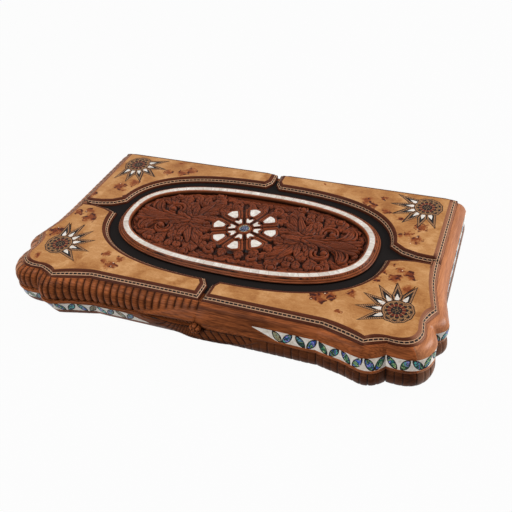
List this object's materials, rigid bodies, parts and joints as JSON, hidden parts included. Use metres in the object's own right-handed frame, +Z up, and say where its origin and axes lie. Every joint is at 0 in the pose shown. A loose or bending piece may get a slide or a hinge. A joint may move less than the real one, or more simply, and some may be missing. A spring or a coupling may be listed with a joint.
{
  "type": "folding backgammon board",
  "caption": "Folding backgammon case with serpentine gadrooned walnut rails, burl panels, shell inlay and a carved oval medallion; the lid swings open on back hinges.",
  "frame": {"origin": "on the underside, below the middle of the oval medallion, between the side rails and between the front and back edges of the burl field", "axes": "+X along the width, to the right as seen from the front; +Y towards the hinges; +Z up out of the closed lid"},
  "size_m": [0.5022, 0.2723, 0.0612],
  "materials": {
    "walnut": "carved and satin varnished",
    "dark_walnut": "satin varnished",
    "burl": "clear gloss varnish over burl veneer",
    "light_wood": "satin varnished maple",
    "veneer": "satin varnished veneer",
    "shell": "polished mother of pearl",
    "abalone": "polished abalone shell",
    "leather": "matt black leather",
    "brass": "polished",
    "steel": "plated"
  },
  "bodies": {
    "base": {"base_bottom_panel": "walnut", "base_front_rail": "walnut", "base_back_rail": "walnut", "base_left_rail": "walnut", "base_right_rail": "walnut", "base_playing_field": "veneer", "base_points_light": "light_wood", "base_points_dark": "dark_walnut", "base_rack_divider": "walnut", "base_shell_band_front": "shell", "base_shell_band_side": "shell", "base_magnets": "steel", "hinge_leaves_base": "brass", "hinge_pins": "brass", "hinge_screws_base": "brass", "checkers_light": "light_wood", "checkers_dark": "dark_walnut", "dice": "light_wood"},
    "lid": {"lid_top_panel": "walnut", "lid_front_rail": "walnut", "lid_back_rail": "walnut", "lid_left_rail": "walnut", "lid_right_rail": "walnut", "lid_playing_field": "veneer", "lid_points_light": "light_wood", "lid_points_dark": "dark_walnut", "lid_rack_divider": "walnut", "lid_shell_band_front": "shell", "lid_shell_band_side": "shell", "lid_magnets": "steel", "hinge_leaves_lid": "brass", "hinge_screws_lid": "brass", "leather_ground": "leather", "burl_panel_front_left": "burl", "burl_panel_front_right": "burl", "burl_panel_back_left": "burl", "burl_panel_back_right": "burl", "moulding_front_left": "dark_walnut", "moulding_front_right": "dark_walnut", "moulding_back_left": "dark_walnut", "moulding_back_right": "dark_walnut", "panel_banding": "light_wood", "corner_star_front_left": "dark_walnut", "corner_star_front_right": "dark_walnut", "corner_star_back_left": "dark_walnut", "corner_star_back_right": "dark_walnut", "star_pearls": "shell", "medallion_frame": "walnut", "pearl_ring": "shell", "carved_plaque": "walnut", "rosette_frame": "walnut", "rosette_pearls": "shell", "abalone_cabochon": "abalone", "thumb_bud": "walnut"}
  },
  "joints": [
    {"name": "lid_hinge", "type": "hinge", "parent": "base", "child": "lid", "pos_m": [0, 0.119, 0.0305], "axis": [-1, 0, 0], "range_deg": [0, 180]}
  ]
}
